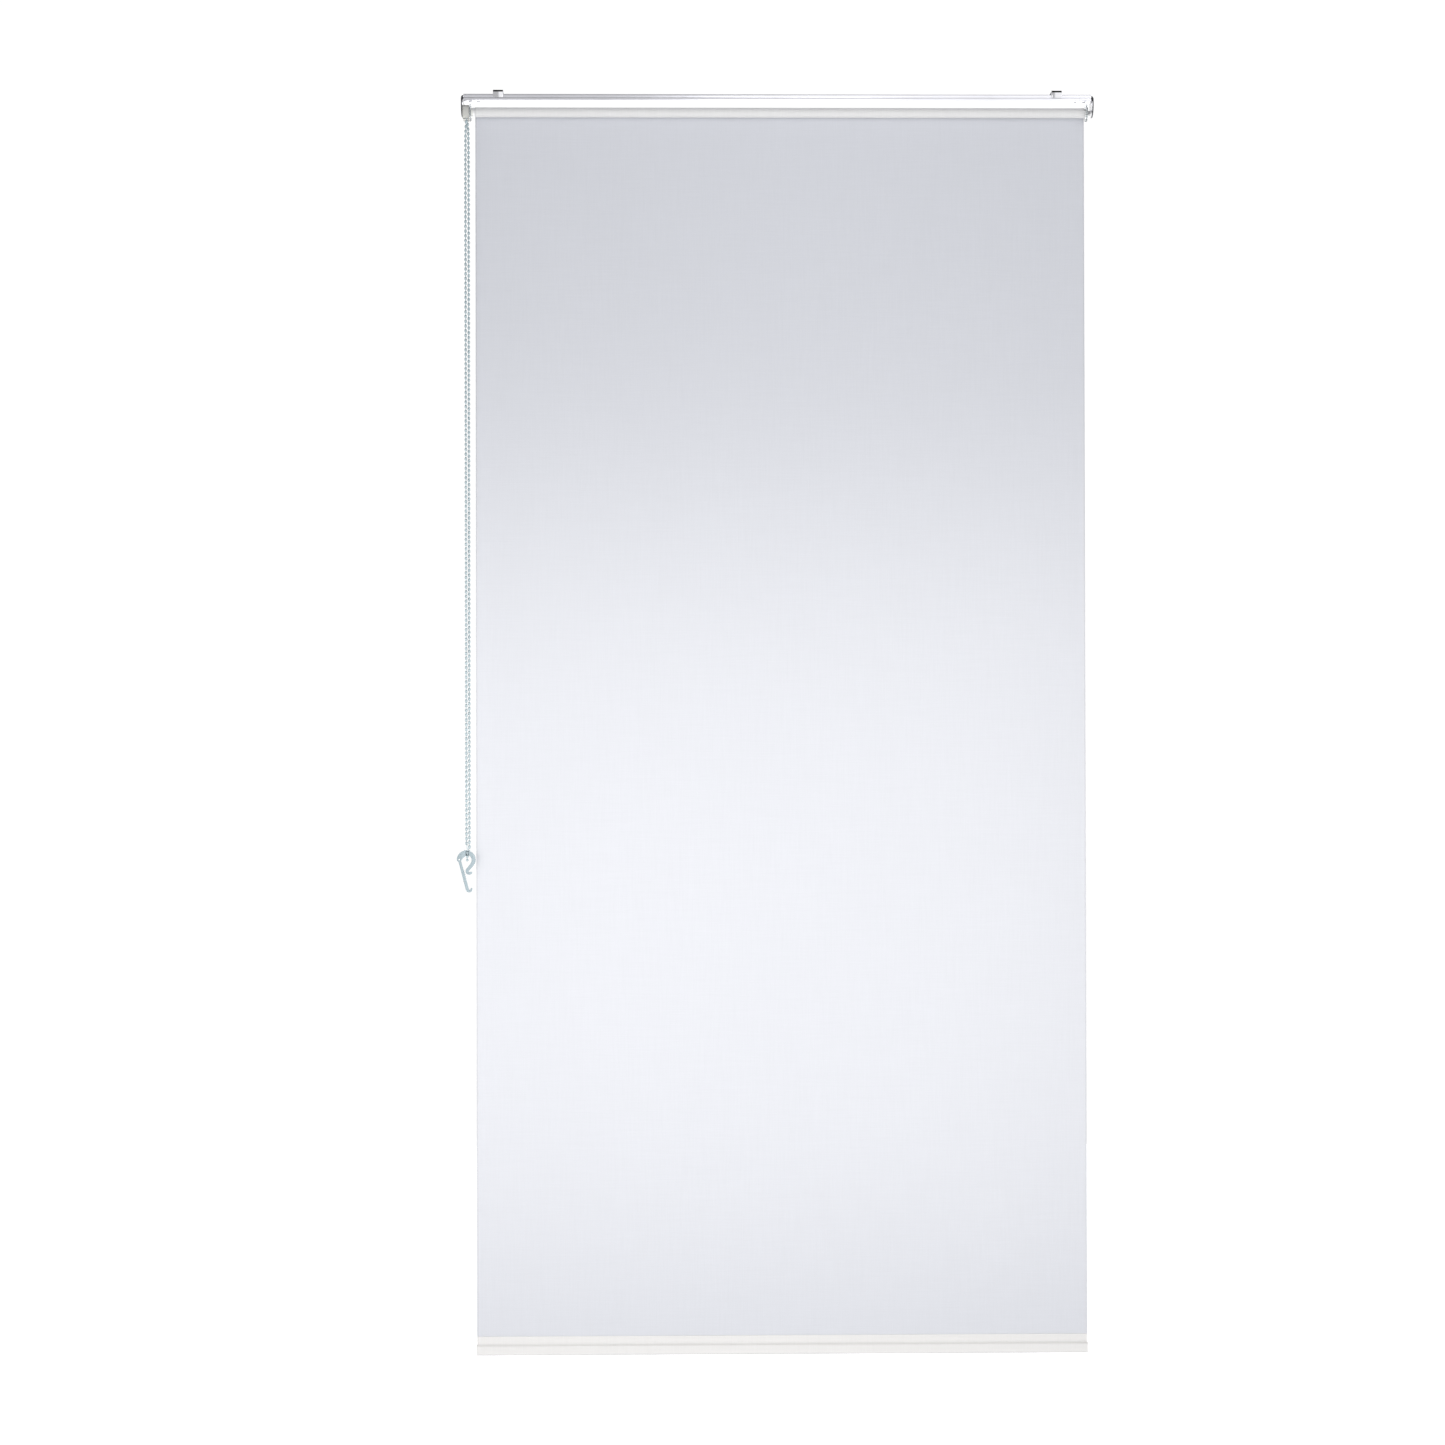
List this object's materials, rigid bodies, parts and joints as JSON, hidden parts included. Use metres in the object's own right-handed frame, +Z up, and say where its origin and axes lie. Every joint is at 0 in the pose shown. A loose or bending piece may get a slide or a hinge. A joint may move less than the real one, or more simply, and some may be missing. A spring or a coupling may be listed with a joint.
{
  "type": "roller blind",
  "caption": "Ceiling-hung roller blind: a fabric sheet on a spring-clutch tube under a slim clip-in rail, with a weighted hem bar, clear end discs, and a bead-chain loop ending in a snap hook.",
  "frame": {"origin": "middle of the ceiling face of the two clips, midway between them", "axes": "+Z up, -Y towards the room (front), +X to the right seen from the room; the chain is at the -X end"},
  "size_m": [1.2113, 0.04, 2.4],
  "materials": {
    "rail_aluminium": "satin anodised extrusion",
    "clip_steel": "plated spring steel",
    "bracket_steel": "bright plated bent steel",
    "screw_steel": "zinc-plated",
    "spring_steel": "oiled spring wire",
    "pin_steel": "turned pin",
    "hub_plastic": "moulded, white",
    "guard_plastic": "smoky translucent moulding",
    "wheel_plastic": "pale translucent moulding",
    "disc_clear": "clear moulding",
    "tube_aluminium": "mill finish",
    "roll_fabric": "fine plain weave, coated",
    "tape_film": "double-sided tape",
    "hem_fabric": "fine plain weave, coated, seamed",
    "bar_paint": "cream enamel",
    "cap_plastic": "moulded, white",
    "chain_plastic": "pale blue-grey translucent beads",
    "hook_plastic": "pale blue-grey translucent moulding",
    "hook_pin_steel": "plain pin"
  },
  "bodies": {
    "frame": {"head_rail": "rail_aluminium", "ceiling_clip_left": "clip_steel", "ceiling_clip_right": "clip_steel", "end_bracket_left": "bracket_steel", "end_bracket_right": "bracket_steel", "bracket_screws": "screw_steel", "clutch_hub": "hub_plastic", "brake_spring": "spring_steel", "hub_screw": "screw_steel", "chain_guard": "guard_plastic", "idler_pin": "pin_steel", "idler_spring": "spring_steel", "fabric_sheet": "roll_fabric"},
    "roller": {"roller_tube": "tube_aluminium", "chain_wheel": "wheel_plastic", "drive_plug": "hub_plastic", "idler_plug": "hub_plastic", "flange_disc_left": "disc_clear", "flange_disc_right": "disc_clear", "fabric_roll": "roll_fabric", "fixing_tape": "tape_film", "bead_chain_arc": "chain_plastic"},
    "hem": {"hem_pocket": "hem_fabric", "hem_bar": "bar_paint", "hem_cap_left": "cap_plastic", "hem_cap_right": "cap_plastic"},
    "chain": {"bead_chain_front": "chain_plastic", "bead_chain_rear": "chain_plastic", "bead_chain_tail": "chain_plastic", "hook_body": "hook_plastic", "hook_pin": "hook_pin_steel"},
    "hook_arm": {"hook_arm": "hook_plastic"}
  },
  "joints": [
    {"name": "hem_slide", "type": "slide", "parent": "frame", "child": "hem", "axis": [0, 0, 1], "range_m": [0, 2.26823], "deforming": ["fabric_sheet"]},
    {"name": "roller_turn", "type": "hinge", "parent": "frame", "child": "roller", "pos_m": [0, 0, -0.039], "axis": [1, 0, 0], "range_deg": [0, 13681]},
    {"name": "chain_swing", "type": "hinge", "parent": "frame", "child": "chain", "pos_m": [-0.5916, 0, -0.053], "axis": [0, 1, 0], "range_deg": [0, 12]},
    {"name": "hook_arm_hinge", "type": "hinge", "parent": "chain", "child": "hook_arm", "pos_m": [-0.60669, 0, -1.45794], "axis": [0, 1, 0], "range_deg": [-3, 28]}
  ],
  "couplings": [
    {"joint": "roller_turn", "follows": "hem_slide", "rad_per_m": 105.26}
  ]
}
